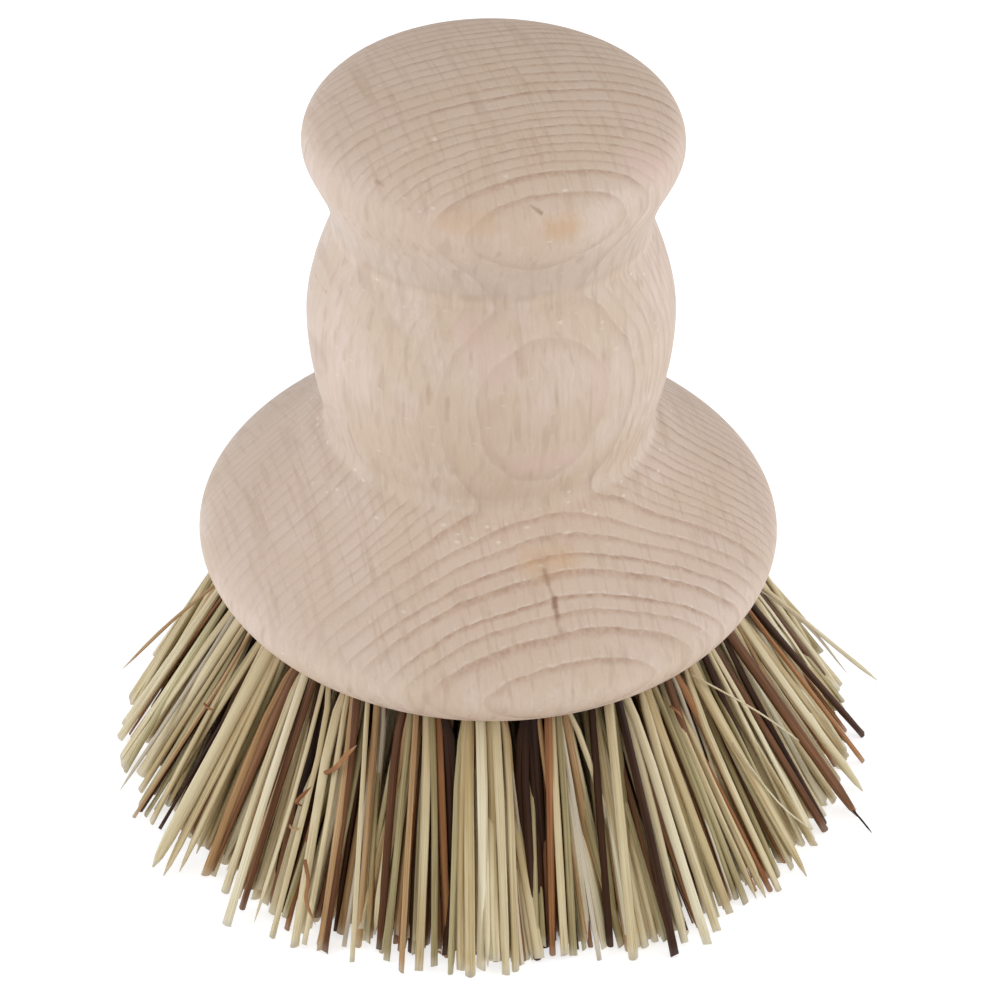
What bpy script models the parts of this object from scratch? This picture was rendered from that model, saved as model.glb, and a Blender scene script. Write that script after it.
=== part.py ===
# Pot brush: a turned beech block with tufts of union fibre set in blind holes in its underside.
# Metres, +Z up. The brush stands on its bristle tips at z = 0, and its axis is the Z axis.

import math

import bmesh
import bpy
from mathutils import Matrix, Vector

MM = 0.001

# The turned block, measured from its flat underside.
BRISTLE_LENGTH = 23.8 * MM  # what shows of the bristles, from the underside down to the tips
FLANGE_RADIUS = 29.9 * MM
UNDERSIDE_SHARE = 0.90  # how far out the underside is flat, of the flange's radius
UNDERSIDE_RADIUS = FLANGE_RADIUS * UNDERSIDE_SHARE
FLANGE_WIDEST_HEIGHT = 4.8 * MM
FILLET_RADIUS = 18.4 * MM  # where the flange's bell runs into the neck's fillet
FILLET_HEIGHT = 16.6 * MM
NECK_RADIUS = 16.6 * MM
NECK_HEIGHT = 19.5 * MM
BARREL_RADIUS = 18.4 * MM
BARREL_HEIGHT = 30.9 * MM
WAIST_RADIUS = 15.5 * MM
WAIST_HEIGHT = 40.8 * MM
KNOB_RADIUS = 18.4 * MM
KNOB_HEIGHT = 50.5 * MM
BLOCK_HEIGHT = 57.5 * MM
TURNED_SIDES = 32
OUTLINE_STEP = 4.5 * MM
LEAST_STEPS = 2
SHARP_FROM = math.radians(40)

# The outline's stretches bend as far as these shares of their own width or height say.
CROWN_HANDLE_SHARES = (0.55, 0.66)
KNOB_UNDER_HANDLE_SHARES = (0.21, 0.51)
BARREL_TOP_HANDLE_SHARES = (0.10, 0.45)
BARREL_FOOT_HANDLE_SHARES = (0.52, 0.08)
FILLET_HANDLE_SHARES = (0.62, 0.45)
BELL_START_HANDLE_SHARES = (0.28, 0.30)
BELL_END_HANDLE_SHARE = 0.30
RIM_HANDLE_SHARES = (0.45, 0.50)

# The tufts stand in rings, each in its own blind hole. A hole's flats touch its radius.
HOLE_RADIUS = 2.1 * MM
HOLE_DEPTH = 7.5 * MM
HOLE_SIDES = 6
FIT_CLEARANCE = 0.3 * MM
CUT_OVERRUN = 2.0 * MM
PLUG_STANDS_OUT = 0.4 * MM
FIRST_TUFT_TURN = -math.tau / 4  # a tuft of each ring faces the viewer

# Each ring: its name, its tufts, its radius at the mouths as a share of the flange's, and its splay.
RINGS = (
    ("outer", 26, 0.816, math.radians(28.6)),
    ("middle", 17, 0.582, math.radians(20.3)),
    ("inner", 9, 0.331, math.radians(13.0)),
    ("centre", 1, 0.0, 0.0),
)

# The strands of a tuft stand in a square grid, three by three, and spread as they run down.
STRANDS_ACROSS = 3
SPREAD_AT_TIPS = 6.0 * MM  # from the middle of the first strand to the middle of the last
STRAND_TIP_WIDTH = 0.9 * MM
UNEVENNESS = 1.3 * MM
SHORT_BY_SHARES = (0.0, 0.62, 0.15, 0.34, 0.0, 0.85, 0.0, 0.47, 0.0)  # of the unevenness, by strand


def clear_scene():
    for obj in list(bpy.data.objects):
        bpy.data.objects.remove(obj, do_unlink=True)


def material(name, colour, roughness):
    made = bpy.data.materials.new(name)
    made.use_nodes = True
    shader = made.node_tree.nodes["Principled BSDF"]
    shader.inputs["Base Color"].default_value = (*colour, 1.0)
    shader.inputs["Roughness"].default_value = roughness
    shader.inputs["Metallic"].default_value = 0.0
    made.diffuse_color = (*colour, 1.0)
    return made


def mesh_of(name, bm, look):
    bmesh.ops.recalc_face_normals(bm, faces=bm.faces)
    mesh = bpy.data.meshes.new(name)
    bm.to_mesh(mesh)
    bm.free()
    mesh.materials.append(look)
    return mesh


def place(name, mesh, location=(0.0, 0.0, 0.0), turn=0.0):
    obj = bpy.data.objects.new(name, mesh)
    bpy.context.scene.collection.objects.link(obj)
    obj.location = location
    obj.rotation_euler = (0.0, 0.0, turn)
    return obj


def bent(start, first, second, end):
    """Points on a cubic curve, without its first point. Each is (radius, height)."""
    steps = max(LEAST_STEPS, round(math.dist(start, end) / OUTLINE_STEP))
    points = []
    for step in range(1, steps + 1):
        t = step / steps
        pulls = ((1 - t) ** 3, 3 * (1 - t) ** 2 * t, 3 * (1 - t) * t**2, t**3)
        corners = (start, first, second, end)
        radius, height = (sum(pull * corner[i] for pull, corner in zip(pulls, corners)) for i in (0, 1))
        points.append((radius, height))
    return points


def upright_bend(start, end, shares):
    """A stretch that leaves and arrives upright."""
    drop = start[1] - end[1]
    first = (start[0], start[1] - drop * shares[0])
    second = (end[0], end[1] + drop * shares[1])
    return bent(start, first, second, end)


def block_outline():
    """The turned outline from the crown's top down to the underside's edge."""
    crown = (0.0, BLOCK_HEIGHT)
    knob = (KNOB_RADIUS, KNOB_HEIGHT)
    waist = (WAIST_RADIUS, WAIST_HEIGHT)
    barrel = (BARREL_RADIUS, BARREL_HEIGHT)
    neck = (NECK_RADIUS, NECK_HEIGHT)
    fillet = (FILLET_RADIUS, FILLET_HEIGHT)
    widest = (FLANGE_RADIUS, FLANGE_WIDEST_HEIGHT)
    edge = (UNDERSIDE_RADIUS, 0.0)

    over, down = CROWN_HANDLE_SHARES
    crown_end = (KNOB_RADIUS, KNOB_HEIGHT + (BLOCK_HEIGHT - KNOB_HEIGHT) * down)
    outline = [crown] + bent(crown, (KNOB_RADIUS * over, BLOCK_HEIGHT), crown_end, knob)
    outline += upright_bend(knob, waist, KNOB_UNDER_HANDLE_SHARES)
    outline += upright_bend(waist, barrel, BARREL_TOP_HANDLE_SHARES)
    outline += upright_bend(barrel, neck, BARREL_FOOT_HANDLE_SHARES)

    # The bell leaves the fillet on the slope that the fillet arrives on.
    out, fall = BELL_START_HANDLE_SHARES
    slope = ((FLANGE_RADIUS - FILLET_RADIUS) * out, (FLANGE_WIDEST_HEIGHT - FILLET_HEIGHT) * fall)
    drop = NECK_HEIGHT - FILLET_HEIGHT
    back = FILLET_HANDLE_SHARES[1] * drop / -slope[1]
    fillet_start = (NECK_RADIUS, NECK_HEIGHT - drop * FILLET_HANDLE_SHARES[0])
    fillet_end = (FILLET_RADIUS - slope[0] * back, FILLET_HEIGHT - slope[1] * back)
    outline += bent(neck, fillet_start, fillet_end, fillet)
    bell_start = (FILLET_RADIUS + slope[0], FILLET_HEIGHT + slope[1])
    bell_rise = FILLET_HEIGHT - FLANGE_WIDEST_HEIGHT
    bell_end = (FLANGE_RADIUS, FLANGE_WIDEST_HEIGHT + bell_rise * BELL_END_HANDLE_SHARE)
    outline += bent(fillet, bell_start, bell_end, widest)

    down, along = RIM_HANDLE_SHARES
    rim_start = (FLANGE_RADIUS, FLANGE_WIDEST_HEIGHT * (1 - down))
    rim_end = (UNDERSIDE_RADIUS + (FLANGE_RADIUS - UNDERSIDE_RADIUS) * along, 0.0)
    outline += bent(widest, rim_start, rim_end, edge)
    return outline


def tufts():
    """Each tuft's name, ring, turn about the axis, radius at its mouth, and splay from upright."""
    for ring, count, mouth_share, splay in RINGS:
        for number in range(count):
            name = f"{ring}_tuft_{number + 1:02d}" if count > 1 else f"{ring}_tuft"
            turn = FIRST_TUFT_TURN + math.tau * number / count
            yield name, ring, turn, FLANGE_RADIUS * mouth_share, splay


def hole_frame(turn, mouth, splay):
    """Carries a hole's own axes to the brush: -Z runs out of its mouth and +X away from the brush's axis."""
    return (
        Matrix.Rotation(turn, 4, "Z")
        @ Matrix.Translation((mouth, 0.0, BRISTLE_LENGTH))
        @ Matrix.Rotation(-splay, 4, "Y")
    )


def hole_cutter(look):
    bm = bmesh.new()
    length = HOLE_DEPTH + CUT_OVERRUN
    middle = Matrix.Translation((0.0, 0.0, (HOLE_DEPTH - CUT_OVERRUN) / 2))
    flat_outward = Matrix.Rotation(math.pi / HOLE_SIDES, 4, "Z")
    corner_radius = HOLE_RADIUS / math.cos(math.pi / HOLE_SIDES)
    for _, _, turn, mouth, splay in tufts():
        bmesh.ops.create_cone(
            bm,
            cap_ends=True,
            segments=HOLE_SIDES,
            radius1=corner_radius,
            radius2=corner_radius,
            depth=length,
            matrix=hole_frame(turn, mouth, splay) @ middle @ flat_outward,
        )
    cutter = place("tuft_holes", mesh_of("tuft_holes", bm, look))
    cutter.hide_render = True
    cutter.display_type = "WIRE"
    return cutter


def turned_block(look):
    """The one piece of beech, knob to flange, with a blind hole for each tuft."""
    bm = bmesh.new()
    outline = block_outline()
    top = bm.verts.new((0.0, 0.0, BRISTLE_LENGTH + outline[0][1]))
    rings = []
    for radius, height in outline[1:]:
        ring = []
        for side in range(TURNED_SIDES):
            angle = math.tau * side / TURNED_SIDES
            x, y = radius * math.cos(angle), radius * math.sin(angle)
            ring.append(bm.verts.new((x, y, BRISTLE_LENGTH + height)))
        rings.append(ring)
    for side in range(TURNED_SIDES):
        after = (side + 1) % TURNED_SIDES
        bm.faces.new((top, rings[0][side], rings[0][after]))
        for upper, lower in zip(rings, rings[1:]):
            bm.faces.new((upper[side], lower[side], lower[after], upper[after]))
    bm.faces.new(rings[-1])
    mesh = mesh_of("turned_block", bm, look)
    mesh.shade_smooth()
    mesh.set_sharp_from_angle(angle=SHARP_FROM)
    block = place("turned_block", mesh)
    holes = block.modifiers.new("tuft holes", "BOOLEAN")
    holes.operation = "DIFFERENCE"
    holes.object = hole_cutter(look)
    return block


def grid_place(column, row):
    """Where a corner of the strands' grid lies on the tuft's round end, in shares of its radius."""
    x = 2 * column / STRANDS_ACROSS - 1
    y = 2 * row / STRANDS_ACROSS - 1
    return x * math.sqrt(1 - y * y / 2), y * math.sqrt(1 - x * x / 2)


def round_end(bm, height, radius, frame):
    corners = {}
    for column in range(STRANDS_ACROSS + 1):
        for row in range(STRANDS_ACROSS + 1):
            x, y = grid_place(column, row)
            corners[column, row] = bm.verts.new(frame @ Vector((x * radius, y * radius, height)))
    return corners


def edge_places():
    """The grid's outer corners, in order round the tuft."""
    last = STRANDS_ACROSS
    sides = [(last, i) for i in range(last)] + [(last - i, last) for i in range(last)]
    return sides + [(0, last - i) for i in range(last)] + [(i, 0) for i in range(last)]


def tuft_mesh(ring, splay, look):
    """A tuft from its mouth: its folded end up in the hole, and its strands down to the floor."""
    bm = bmesh.new()
    frame = Matrix.Rotation(-splay, 4, "Y")
    radius = HOLE_RADIUS - FIT_CLEARANCE
    deep = {}
    for place_at in edge_places():
        x, y = grid_place(*place_at)
        corner = Vector((x * radius, y * radius, HOLE_DEPTH - FIT_CLEARANCE))
        deep[place_at] = bm.verts.new(frame @ corner)
    out = round_end(bm, -PLUG_STANDS_OUT, radius, frame)
    around = edge_places()
    for here, after in zip(around, around[1:] + around[:1]):
        bm.faces.new((deep[here], deep[after], out[after], out[here]))
    bm.faces.new([deep[here] for here in around])

    floor = -BRISTLE_LENGTH
    reach = BRISTLE_LENGTH * math.tan(splay)
    pitch = SPREAD_AT_TIPS / (STRANDS_ACROSS - 1)
    half_tip = STRAND_TIP_WIDTH / 2
    for strand, short_by in enumerate(SHORT_BY_SHARES):
        column, row = divmod(strand, STRANDS_ACROSS)
        square = ((column, row), (column + 1, row), (column + 1, row + 1), (column, row + 1))
        corners = [out[corner] for corner in square]
        middle_x = reach + (column - (STRANDS_ACROSS - 1) / 2) * pitch
        middle_y = (row - (STRANDS_ACROSS - 1) / 2) * pitch
        tips = []
        for corner, (side_x, side_y) in zip(corners, ((-1, -1), (1, -1), (1, 1), (-1, 1))):
            ground = Vector((middle_x + side_x * half_tip, middle_y + side_y * half_tip, floor))
            run = ground - corner.co
            kept = 1 - short_by * UNEVENNESS / (corner.co.z - floor)
            tips.append(bm.verts.new(corner.co + run * kept))
        for i in range(4):
            after = (i + 1) % 4
            bm.faces.new((corners[i], corners[after], tips[after], tips[i]))
        bm.faces.new(tips)
    return mesh_of(f"{ring}_tuft", bm, look)


def main():
    clear_scene()
    beech = material("beech", (0.60, 0.47, 0.37), 0.62)
    union_fibre = material("union_fibre", (0.46, 0.36, 0.20), 0.55)
    turned_block(beech)
    meshes = {}
    for name, ring, turn, mouth, splay in tufts():
        if ring not in meshes:
            meshes[ring] = tuft_mesh(ring, splay, union_fibre)
        at = (mouth * math.cos(turn), mouth * math.sin(turn), BRISTLE_LENGTH)
        place(name, meshes[ring], at, turn)
    print(f"{sum(1 for _ in tufts())} tufts of {len(SHORT_BY_SHARES)} strands")


main()
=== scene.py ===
import math
import random

import bmesh
import bpy
from mathutils import Color, Matrix, Vector


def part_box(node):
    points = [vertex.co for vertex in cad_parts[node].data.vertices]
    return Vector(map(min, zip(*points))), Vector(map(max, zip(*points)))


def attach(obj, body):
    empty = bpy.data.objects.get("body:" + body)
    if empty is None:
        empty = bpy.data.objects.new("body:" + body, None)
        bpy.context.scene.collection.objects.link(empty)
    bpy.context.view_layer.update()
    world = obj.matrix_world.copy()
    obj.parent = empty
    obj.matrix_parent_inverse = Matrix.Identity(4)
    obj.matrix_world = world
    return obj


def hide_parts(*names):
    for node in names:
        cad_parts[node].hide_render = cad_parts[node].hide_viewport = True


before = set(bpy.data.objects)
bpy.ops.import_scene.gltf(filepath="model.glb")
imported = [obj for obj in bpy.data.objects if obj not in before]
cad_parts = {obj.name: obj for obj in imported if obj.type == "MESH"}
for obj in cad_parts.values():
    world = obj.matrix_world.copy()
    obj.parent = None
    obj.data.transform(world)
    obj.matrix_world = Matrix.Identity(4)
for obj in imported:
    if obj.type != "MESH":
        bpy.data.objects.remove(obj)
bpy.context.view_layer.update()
mm = 0.001
lowest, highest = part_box("turned_block")
undersideHeight = lowest.z / mm
blockHeight = (highest.z - lowest.z) / mm
flangeRadius = highest.x / mm
print(f"frame: {len(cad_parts)} nodes, flange {2 * flangeRadius:.1f} mm across")


def paint(red, green, blue):
    # a colour as a screen shows it, 0 to 255, as the linear values that sockets take
    shown = Color((red / 255, green / 255, blue / 255))
    return (*shown.from_srgb_to_scene_linear(), 1.0)


# shader helpers

editorGrid = {"perRow": 12, "across": 180, "down": -260}  # how the nodes are laid out in the editor


def addNode(tree, kind, inputs=None, **settings):
    made = tree.nodes.new("ShaderNode" + kind)
    row, column = divmod(len(tree.nodes), editorGrid["perRow"])
    made.location = (editorGrid["across"] * column, editorGrid["down"] * row)
    for name, value in settings.items():
        setattr(made, name, value)
    for name, value in (inputs or {}).items():
        feed(tree, made.inputs[name], value)
    return made


def feed(tree, socket, value):
    if isinstance(value, bpy.types.NodeSocket):
        tree.links.new(value, socket)
    else:
        socket.default_value = value


def maths(tree, operation, *values, clamp=False):
    made = addNode(tree, "Math", dict(enumerate(values)), operation=operation, use_clamp=clamp)
    return made.outputs[0]


def times(tree, first, second):
    return maths(tree, "MULTIPLY", first, second)


def timesPlus(tree, first, second, third):
    return maths(tree, "MULTIPLY_ADD", first, second, third)


def minus(tree, first, second):
    return maths(tree, "SUBTRACT", first, second)


def vectorMaths(tree, operation, *values):
    made = addNode(tree, "VectorMath", dict(enumerate(values)), operation=operation)
    return made.outputs["Value" if operation in ("DOT_PRODUCT", "LENGTH", "DISTANCE") else "Vector"]


def stretch(tree, place, sizes):
    return vectorMaths(tree, "MULTIPLY", place, sizes)


def axes(tree, vector):
    return addNode(tree, "SeparateXYZ", {"Vector": vector}).outputs


def remap(tree, value, low, high, toLow=0.0, toHigh=1.0, smooth=False):
    made = addNode(tree, "MapRange", {"Value": value, "From Min": low, "From Max": high,
                                      "To Min": toLow, "To Max": toHigh})
    made.interpolation_type = "SMOOTHSTEP" if smooth else "LINEAR"
    return made.outputs["Result"]


def noise(tree, place, scale, detail=2.0, roughness=0.5):
    made = addNode(tree, "TexNoise", {"Vector": place, "Scale": scale, "Detail": detail,
                                      "Roughness": roughness})
    return made.outputs["Fac"]


def blendColours(tree, share, first, second):
    # on a mix of colours, socket 0 takes the share, 6 and 7 take the colours, and 2 gives the result
    made = addNode(tree, "Mix", data_type="RGBA")
    feed(tree, made.inputs[0], share)
    feed(tree, made.inputs[6], first)
    feed(tree, made.inputs[7], second)
    return made.outputs[2]


def newGroup(name, inputs, outputs):
    # inputs and outputs are (name, kind, starting value)
    group = bpy.data.node_groups.new(name, "ShaderNodeTree")
    for direction, sockets in (("INPUT", inputs), ("OUTPUT", outputs)):
        for label, kind, value in sockets:
            socket = group.interface.new_socket(label, in_out=direction, socket_type="NodeSocket" + kind)
            if value is not None:
                socket.default_value = value
    start = group.nodes.new("NodeGroupInput")
    end = group.nodes.new("NodeGroupOutput")
    return group, start.outputs, end.inputs


def useGroup(tree, group, inputs):
    made = addNode(tree, "Group", node_tree=group)
    for name, value in inputs.items():
        feed(tree, made.inputs[name], value)
    return made.outputs


def newMaterial(name):
    made = bpy.data.materials.new(name)
    made.use_nodes = True
    return made, made.node_tree, made.node_tree.nodes["Principled BSDF"]


def millimetres(tree):
    # the object's own place, in millimetres
    return stretch(tree, addNode(tree, "TexCoord").outputs["Object"], (1 / mm, 1 / mm, 1 / mm))


# effects that wood and fibre share

grainShape = {
    "coarse": (2.0, 0.6),  # detail and roughness of the coarse streaks, as for the fine ones
    "fine": (1.0, 0.5),
    "finer": 3.1,  # the fine ones lie this many times closer
    "fineShare": 0.4,
    "contrast": (0.33, 0.67),  # what becomes 0 and what becomes 1
}
mottleShape = {
    "cloud": (3.0, 0.55),  # detail and roughness
    "contrast": (0.35, 0.65),
}


def buildDrawnGrain():
    # thin streaks drawn out along one way, from a place that is already stretched to suit
    group, given, out = newGroup(
        "drawnGrain",
        [("Place", "Vector", None), ("Fineness", "Float", 1.0)],
        [("Grain", "Float", 0.0)],
    )
    coarse = noise(group, given["Place"], given["Fineness"], *grainShape["coarse"])
    closer = times(group, given["Fineness"], grainShape["finer"])
    fine = noise(group, given["Place"], closer, *grainShape["fine"])
    share = grainShape["fineShare"]
    both = timesPlus(group, fine, share, times(group, coarse, 1 - share))
    group.links.new(remap(group, both, *grainShape["contrast"], smooth=True), out["Grain"])
    return group


def buildSoftMottle():
    # slow change of tone over the surface
    group, given, out = newGroup(
        "softMottle",
        [("Place", "Vector", None), ("Size", "Float", 10.0)],
        [("Mottle", "Float", 0.0)],
    )
    scale = maths(group, "DIVIDE", 1.0, given["Size"])
    cloud = noise(group, given["Place"], scale, *mottleShape["cloud"])
    group.links.new(remap(group, cloud, *mottleShape["contrast"], smooth=True), out["Mottle"])
    return group


drawnGrain = buildDrawnGrain()
softMottle = buildSoftMottle()


# beech

beech = {
    "pale": paint(217, 197, 179),
    "warm": paint(206, 183, 160),
    "pink": paint(212, 182, 168),
    "yellowish": paint(208, 187, 158),
    "lateWood": paint(166, 132, 108),
    # the rays' colour, also used for the painted shade in the crease at the waist
    "rayAndShade": paint(176, 148, 125),
    "endGrain": paint(198, 174, 153),
    "mark": paint(132, 92, 66),
    "yellow": paint(200, 160, 114),
    # painted highlight on raised grain, in the flecks and beside the ring lines
    "raisedGrainGlint": paint(238, 228, 214),
    # the colour of the painted shade above the waist
    "shade": paint(160, 158, 150),
    # growth rings from the pith's side: where the first line lies, then each ring's width and depth of tone
    "firstLine": -30.6,
    "rings": (
        (1.35, 1.0), (2.2, 0.9), (1.4, 0.6), (1.2, 1.0), (2.1, 1.0), (1.3, 0.85), (1.5, 0.6),
        (1.4, 0.6), (1.9, 0.85), (1.0, 0.3), (1.1, 0.6), (1.0, 0.6), (1.1, 0.6), (1.4, 0.65),
        (1.2, 0.55), (0.9, 0.5), (1.6, 0.6), (1.9, 0.95), (1.6, 0.6), (1.7, 0.6), (1.6, 0.55),
        (1.5, 0.7), (1.3, 0.5), (1.8, 0.8), (1.2, 0.5), (1.6, 0.6), (1.3, 0.9), (1.2, 0.5),
        (1.5, 0.6), (2.0, 0.7), (1.3, 0.5), (1.4, 0.8), (1.4, 0.6), (1.2, 0.5), (1.6, 0.9),
        (1.4, 0.6), (1.7, 0.6), (1.3, 0.7), (1.4, 0.5), (1.6, 0.8), (1.4, 0.6), (1.7, 0.7),
    ),
    "tilt": 0.0262,  # how far the rings lean back as they rise
    # in the barrel the sheets of growth stand a little further out: from, to, from, to again, and how far
    "bulge": ((15.0, 23.0), (41.0, 47.0), 0.05),
    "heart": (-19.5, -18.9, 20.0, 24.0),  # above the flange no lines show nearer the pith than this: from, to
    "sweep": 0.258,  # how they run across the block
    "bend": 2.05,  # how much they turn up on the left
    "bendCentre": 16.9,
    "bendLength": 17.36,
    "levelling": (1.2, 0.886),  # between the two turned-up ends they run straight: how soon, how fully
    # the rings' waves: how deep in all, how close and how deep the slow ones, how close and how drawn out
    # the quick ones, detail and roughness of both
    "waviness": 0.32,
    "slowWave": (0.11, 3.0),
    "quickWave": (0.8, (1.0, 1.0, 0.25)),
    "waveGrain": (2.0, 0.5),
    # where in its year a line comes and goes, and how its tone changes along its run: scale and detail, then
    # from, to, least, most
    "lineRise": (0.54, 0.92),
    "lineFall": (0.935, 1.0),
    "lineUneven": ((0.9, 2.0), (0.35, 0.65, 0.8, 1.2)),
    "lateCurve": 2.0,  # how late in the year the late wood begins to show
    # just past a line the wood is raised here and there, and painted pale there as a highlight: how wide,
    # scale and detail, from, to
    "edgeWidth": 0.16,
    "edgeBreaks": ((1.3, 2.0), (0.46, 0.60)),
    "endGrainFrom": (0.34, 0.80),  # how far a face looks up, from side grain to full end grain
    # a ring line's depth on side grain, fading to the left: depth, from, to, and what is left of it
    "sideGrainLine": (0.36, -9.0, 1.0, 0.2),
    "quietSide": (-24.0, 3.0, 0.28),  # towards the left the lines fade: from, to, and what is left of them
    # rays: how they are turned, their noise, how sharp they end, and where they are lively
    "rayTurn": -16.7,
    "rayNoise": (1.0, 1.0, 0.4),
    "rayEdge": 0.11,
    "rayLively": ((0.35, 2.0), (0.35, 0.65, 0.35, 1.0)),
    "fineRays": ((0.42, 9.0, 2.6), 0.54),  # size across, along and upright, and how rare they are
    "broadRays": ((1.0, 14.0, 4.6), 0.575),
    "sideRays": (0.4, 0.9),  # how strongly fine and broad rays show on side grain, beside end grain
    "elsewhere": (7.3, 2.1, 4.4),  # a shift that gives a second pattern of the same kind
    "upright": (1.0, 1.0, 0.12),  # how the fine streaks and hairs are drawn out
    "fineness": (0.9, 3.5),  # of the streaks and the hairs
    "mottleSize": 7.0,
    "blushSize": 16.0,
    # small dark dashes on side grain: how close, detail and roughness, from, to
    "dashes": ((1.3, 1.3, 0.17), (1.0, 0.4), (0.58, 0.80)),
    # painted shade on the wood above the line at the waist, where the form turns inward: from, to, from, to
    # again
    "paintedWaistShade": ((42.0, 43.2), (44.5, 50.0)),
    # painted shade in the crease at the waist, with a small groove in the bump: its height, and how far
    # above and below that its tone starts to fade and ends. Then where it breaks off: scale and detail, and
    # from, to, least, most
    "crease": (42.5, 0.08, 0.8),
    "creaseBreaks": ((0.4, 2.0), (0.40, 0.62, 0.15, 1.0)),
    "bandOnSide": 0.35,  # how much of the late wood shows where the lines don't
    # how deep each tone goes
    "depths": {
        "mottle": 0.76, "blush": 0.24, "sallow": 0.55, "endGrain": 0.50, "lateWood": 0.20, "line": 0.88,
        "edge": 0.42, "fineRays": 0.44, "broadRays": 0.46, "streaks": 0.58, "hairs": 0.13, "dashes": 0.42,
        "crease": 0.36, "paintedWaistShade": 0.14, "pinkSpots": 0.7, "yellowSpots": 0.6, "softFlecks": 0.6,
        "woodMarks": 0.8, "flecks": 0.40,
    },
    # how far each stands out, or lies deeper
    "relief": {
        "line": -0.7, "hairs": 0.3, "fineRays": -0.35, "broadRays": -0.35, "flecks": 0.9, "crease": -0.8,
        "edge": 0.3, "pores": 0.6,
    },
    "pores": (5.0, 3.0, 0.6),  # scale, detail, roughness
    "bump": (0.4, 0.06),  # strength and height
    "roughness": (0.50, 0.66),
    "gloss": 0.4,
}

# small flecks where sanding has raised the grain, painted pale as highlights
raisedGrainGlints = {
    "spacing": (0.75, 0.75, 1.6),
    "size": (0.08, 0.30),
    "bands": ((40.6, 2.0), (17.5, 3.0)),  # heights about which they are common, and how far up and down
    "bandCore": 0.4,  # the share of that reach in which they are commonest
    "inBand": 0.38,
    "anywhere": (0.12, 0.25),  # how large the other places are, and how common the flecks in them
    "rarity": (1.04, 1.16),
}

# how a stroke frays and fades: the noise's scale, detail and roughness, how far it moves the edge and from
# where, and how many widths from its middle the tone is full and gone
strokeShape = {
    "fray": (1.6, 2.0, 0.6),
    "frayDepth": (1.4, 0.4),
    "fade": (0.1, 1.35),
}

# dark strokes in the wood: from, to (x, y and height above the underside), width and depth of tone
woodMarks = (
    ((5.6, -20.4, 14.0), (6.0, -21.5, 13.1), 0.36, 0.60),
    ((6.0, -21.5, 13.1), (6.5, -22.4, 12.3), 0.28, 0.40),
    ((6.6, -22.5, 12.2), (6.7, -23.2, 11.7), 0.42, 1.00),
    ((6.7, -23.2, 11.7), (6.9, -23.9, 11.1), 0.34, 0.75),
    ((6.9, -23.9, 11.1), (6.9, -24.6, 10.6), 0.26, 0.35),
    ((7.3, -25.1, 10.1), (7.4, -25.3, 10.0), 0.70, 0.35),
    ((5.3, -19.6, 14.7), (5.8, -21.0, 13.6), 0.8, 0.20),
    ((-10.6, -13.2, 53.6), (-9.9, -13.7, 53.5), 0.3, 0.5),
    ((3.6, -16.7, 53.4), (4.5, -17.0, 52.9), 0.28, 0.7),
    ((-23.0, -19.6, 6.0), (-22.2, -19.4, 8.0), 0.4, 0.4),
    ((8.9, -12.8, 40.8), (13.0, -11.8, 35.7), 0.24, 0.3),
    ((2.4, -16.7, 37.4), (2.5, -16.9, 36.6), 0.3, 0.5),
    ((-17.0, -3.0, 36.4), (-15.8, -6.6, 36.9), 0.25, 0.5),
)
softFlecks = (
    ((-14.1, -11.6, 35.4), (-14.1, -11.7, 32.6), 0.40, 0.7),
    ((-11.3, -12.4, 39.0), (-11.6, -12.9, 37.0), 0.40, 0.8),
    ((-10.5, -15.0, 34.6), (-10.5, -15.1, 31.8), 0.38, 0.7),
    ((-8.0, -15.3, 37.8), (-8.0, -15.9, 35.6), 0.36, 0.7),
    ((-5.8, -17.3, 34.4), (-5.8, -17.4, 31.6), 0.36, 0.6),
    ((-4.0, -17.9, 32.6), (-4.0, -17.8, 30.0), 0.36, 0.6),
    ((-8.2, -16.4, 30.8), (-8.2, -16.4, 24.4), 0.30, 0.6),
    ((6.1, -17.3, 30.2), (6.1, -17.2, 28.2), 0.34, 0.5),
    ((-16.4, -8.2, 33.6), (-16.2, -8.2, 30.4), 0.40, 0.6),
    ((-12.6, -12.8, 28.6), (-12.4, -12.6, 25.4), 0.38, 0.6),
    ((10.0, -12.6, 39.8), (10.2, -13.6, 37.6), 0.36, 0.5),
    ((14.6, -10.8, 34.6), (14.8, -10.8, 32.0), 0.36, 0.5),
)
yellowSpots = (
    ((-4.2, -17.3, 52.0), (-0.6, -17.9, 52.2), 1.5, 0.50),
    ((5.8, -17.2, 51.4), (7.0, -16.9, 51.4), 1.6, 0.85),
    ((4.4, -19.9, 14.7), (7.7, -19.3, 14.4), 1.9, 0.65),
    ((5.2, -19.8, 14.6), (5.6, -20.8, 13.9), 1.0, 0.60),
)
pinkSpots = (
    ((-2.0, -15.9, 39.2), (0.5, -17.1, 36.9), 2.2, 0.6),
    ((0.2, -17.8, 35.0), (1.6, -17.4, 36.6), 1.8, 0.6),
    ((10.4, -14.8, 34.0), (10.9, -14.8, 29.6), 1.3, 0.6),
    ((3.0, -17.2, 24.6), (7.6, -16.0, 24.4), 1.7, 0.7),
    ((13.6, -9.6, 54.0), (15.6, -8.6, 52.4), 2.2, 0.7),
)


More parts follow.
